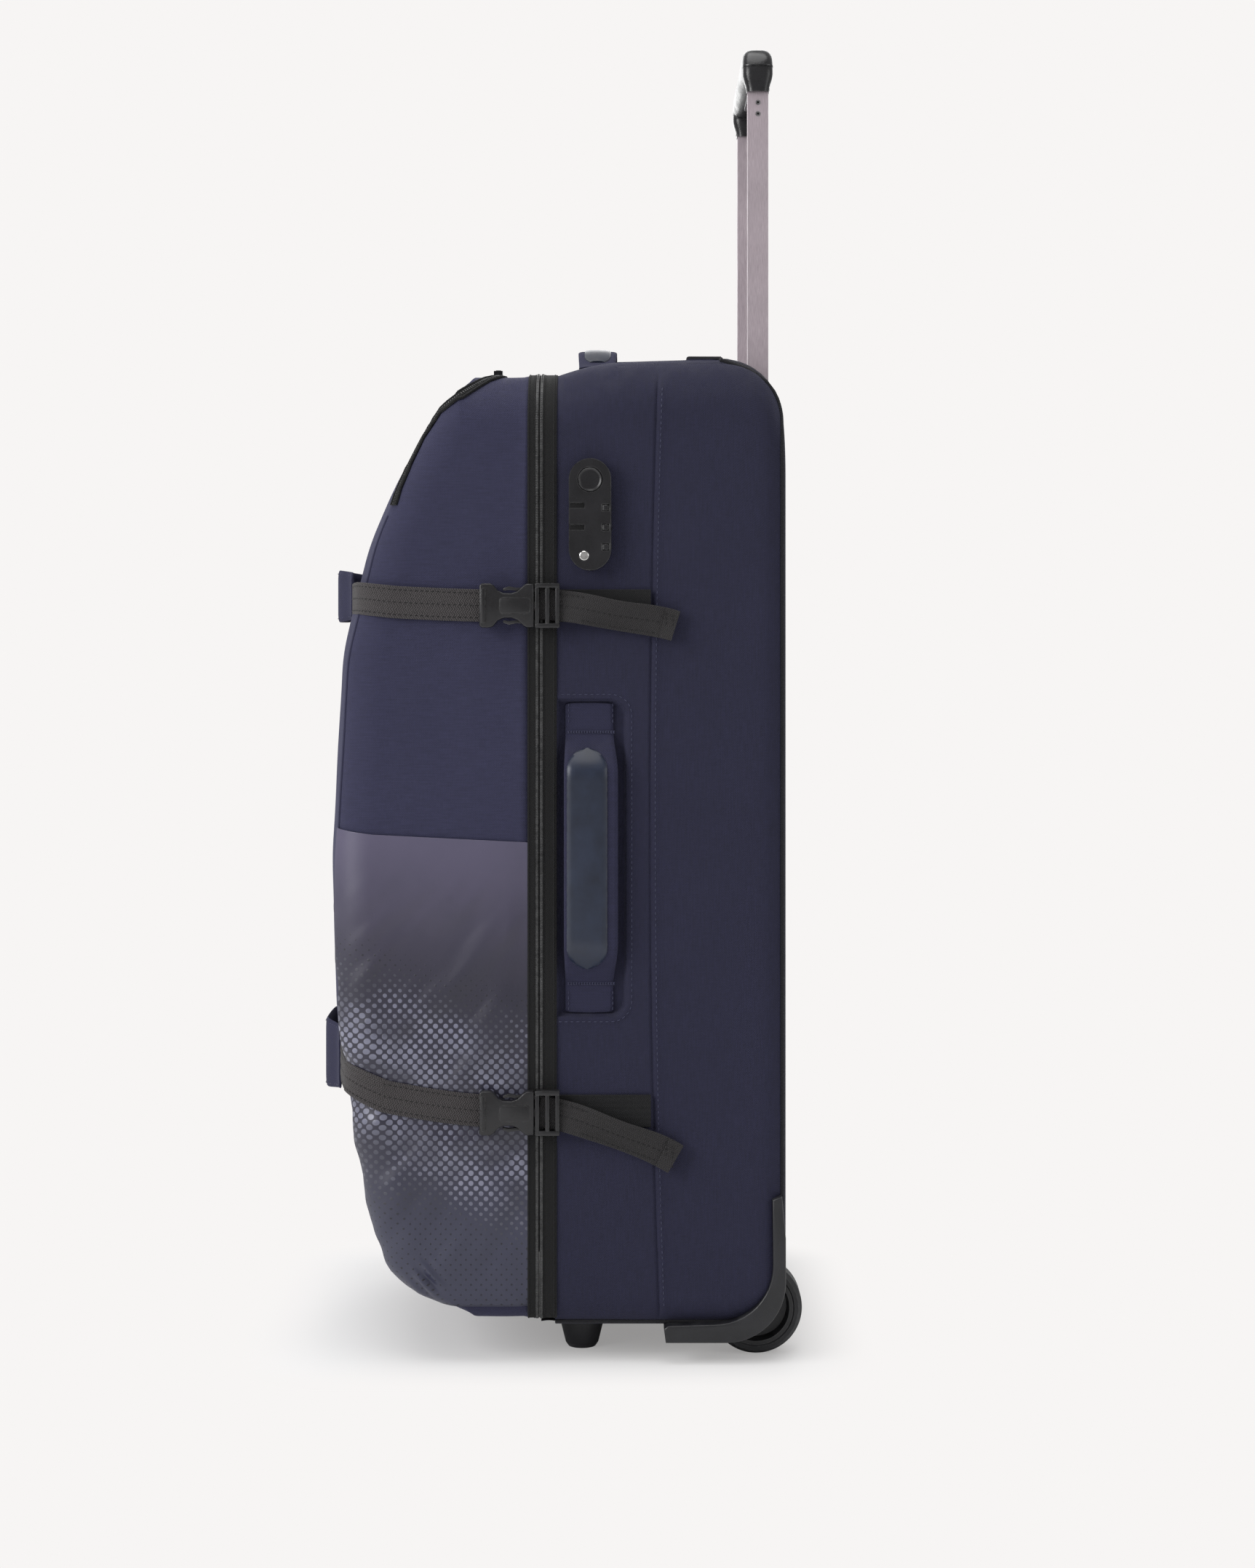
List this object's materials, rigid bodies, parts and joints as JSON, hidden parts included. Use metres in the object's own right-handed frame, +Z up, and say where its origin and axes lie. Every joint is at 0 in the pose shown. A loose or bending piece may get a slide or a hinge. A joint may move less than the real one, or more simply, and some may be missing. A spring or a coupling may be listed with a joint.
{
  "type": "rolling duffel bag",
  "caption": "Upright soft-sided rolling duffel with a hinged zip lid, telescopic trolley handle, corner wheels, compression straps, carry handles and a side lock.",
  "frame": {"origin": "on the floor under the middle of the whole bag", "axes": "+Z up, +Y towards the trolley and wheels (back), +X to the bag's right, where the lock and side handle are"},
  "size_m": [0.3692, 0.388, 1.032],
  "materials": {
    "navy_cloth": "woven heathered polyester, matt",
    "back_cloth": "smooth black cloth, matt",
    "coated_cloth": "coated cloth with a low sheen and a printed dot pattern",
    "lining_cloth": "thin plain-weave lining",
    "board": "plain stiffener board",
    "zip_tape": "herringbone tape",
    "zip_coil": "nylon coil",
    "webbing": "ribbed webbing",
    "buckle_plastic": "fine moulded grain",
    "tube_metal": "satin anodised, extruded grooves",
    "moulded_black": "moulded, satin",
    "button_black": "smooth",
    "steel": "turned and plated",
    "slider_metal": "dark enamel",
    "wheel_plastic": "moulded, satin",
    "tyre": "solid soft tread",
    "lock_plastic": "satin moulding with polished edges",
    "handle_inlay": "smooth moulded inlay"
  },
  "bodies": {
    "root": {"tub_top_panel": "navy_cloth", "tub_back_panel": "back_cloth", "tub_bottom_panel": "navy_cloth", "tub_side_right": "navy_cloth", "tub_side_left": "navy_cloth", "side_handle_recess": "navy_cloth", "tub_lining": "lining_cloth", "back_board": "board", "hinge_strip": "back_cloth", "tub_zip_tape": "zip_tape", "tub_zip_coil": "zip_coil", "top_handle": "navy_cloth", "side_handle": "navy_cloth", "strap_anchors": "webbing", "outer_tubes": "tube_metal", "tube_brackets": "moulded_black", "trolley_bezels": "moulded_black", "wheel_housing_right": "moulded_black", "wheel_housing_left": "moulded_black", "axles": "steel", "front_feet": "moulded_black", "lock_case": "lock_plastic"},
    "lid": {"lid_top_panel": "navy_cloth", "lid_bottom_panel": "navy_cloth", "lid_front_panel": "navy_cloth", "lid_side_right": "navy_cloth", "lid_side_left": "navy_cloth", "lid_lining": "lining_cloth", "lid_zip_tape": "zip_tape", "lid_zip_coil": "zip_coil", "coated_pockets": "coated_cloth", "front_pocket_zip": "zip_coil", "front_straps": "webbing", "front_handles": "navy_cloth", "buckle_sockets": "buckle_plastic"},
    "handle": {"grip": "moulded_black", "inner_tubes": "tube_metal", "grip_rivets": "steel"},
    "grip_key": {"grip_button": "button_black", "pull_rods": "steel"},
    "lock_pin_right": {"lock_pin_right": "steel"},
    "lock_pin_left": {"lock_pin_left": "steel"},
    "wheel_right": {"wheel_hub_right": "wheel_plastic", "wheel_tyre_right": "tyre"},
    "wheel_left": {"wheel_hub_left": "wheel_plastic", "wheel_tyre_left": "tyre"},
    "lock_release": {"lock_release": "button_black"},
    "key_barrel": {"key_barrel": "steel"},
    "zip_slider_upper": {"zip_slider_upper": "slider_metal"},
    "zip_slider_lower": {"zip_slider_lower": "slider_metal"},
    "pocket_slider": {"pocket_slider": "slider_metal"},
    "plug_upper_right": {"buckle_plug_upper_right": "buckle_plastic"},
    "plug_upper_left": {"buckle_plug_upper_left": "buckle_plastic"},
    "plug_lower_right": {"buckle_plug_lower_right": "buckle_plastic"},
    "plug_lower_left": {"buckle_plug_lower_left": "buckle_plastic"},
    "dial_top": {"dial_top": "lock_plastic"},
    "dial_middle": {"dial_middle": "lock_plastic"},
    "dial_low": {"dial_low": "lock_plastic"}
  },
  "joints": [
    {"name": "lid_hinge", "type": "hinge", "parent": "root", "child": "lid", "pos_m": [0, -0.01, 0.026], "axis": [1, 0, 0], "range_deg": [0, 110]},
    {"name": "trolley_slide", "type": "slide", "parent": "root", "child": "handle", "axis": [0, 0, 1], "range_m": [-0.214, 0]},
    {"name": "grip_press", "type": "slide", "parent": "handle", "child": "grip_key", "axis": [0, 0, 1], "range_m": [0, 0.004], "stiffness_N_per_m": 800, "springref_m": -0.004},
    {"name": "pin_right_slide", "type": "slide", "parent": "handle", "child": "lock_pin_right", "axis": [1, 0, 0], "range_m": [-0.003, 0]},
    {"name": "pin_left_slide", "type": "slide", "parent": "handle", "child": "lock_pin_left", "axis": [-1, 0, 0], "range_m": [-0.003, 0]},
    {"name": "wheel_right_spin", "type": "hinge", "parent": "root", "child": "wheel_right", "pos_m": [0.1265, 0.1586, 0.036], "axis": [1, 0, 0], "continuous": true},
    {"name": "wheel_left_spin", "type": "hinge", "parent": "root", "child": "wheel_left", "pos_m": [-0.1265, 0.1586, 0.036], "axis": [1, 0, 0], "continuous": true},
    {"name": "lock_release_press", "type": "slide", "parent": "root", "child": "lock_release", "axis": [-1, 0, 0], "range_m": [0, 0.0015], "stiffness_N_per_m": 500, "springref_m": -0.002},
    {"name": "key_turn", "type": "hinge", "parent": "root", "child": "key_barrel", "pos_m": [0.175, 0.02475, 0.62325], "axis": [1, 0, 0], "range_deg": [0, 90]},
    {"name": "zip_upper_slide", "type": "slide", "parent": "root", "child": "zip_slider_upper", "axis": [0, 0, 1], "range_m": [0, 0.038]},
    {"name": "zip_lower_slide", "type": "slide", "parent": "root", "child": "zip_slider_lower", "axis": [0, 0, 1], "range_m": [-0.22, 0]},
    {"name": "pocket_zip_slide", "type": "slide", "parent": "lid", "child": "pocket_slider", "axis": [-1, 0, 0], "range_m": [0, 0.2]},
    {"name": "buckle_upper_right_pull", "type": "slide", "parent": "root", "child": "plug_upper_right", "axis": [0, 1, 0], "range_m": [0, 0.03]},
    {"name": "buckle_upper_left_pull", "type": "slide", "parent": "root", "child": "plug_upper_left", "axis": [0, 1, 0], "range_m": [0, 0.03]},
    {"name": "buckle_lower_right_pull", "type": "slide", "parent": "root", "child": "plug_lower_right", "axis": [0, 1, 0], "range_m": [0, 0.03]},
    {"name": "buckle_lower_left_pull", "type": "slide", "parent": "root", "child": "plug_lower_left", "axis": [0, 1, 0], "range_m": [0, 0.03]},
    {"name": "dial_top_spin", "type": "hinge", "parent": "root", "child": "dial_top", "pos_m": [0.1755, 0.0413, 0.6601], "axis": [0, 0, 1], "continuous": true},
    {"name": "dial_middle_spin", "type": "hinge", "parent": "root", "child": "dial_middle", "pos_m": [0.1755, 0.0413, 0.645], "axis": [0, 0, 1], "continuous": true},
    {"name": "dial_low_spin", "type": "hinge", "parent": "root", "child": "dial_low", "pos_m": [0.1755, 0.0413, 0.6299], "axis": [0, 0, 1], "continuous": true}
  ],
  "couplings": [
    {"joint": "pin_right_slide", "follows": "grip_press", "ratio": -0.75},
    {"joint": "pin_left_slide", "follows": "grip_press", "ratio": -0.75}
  ]
}
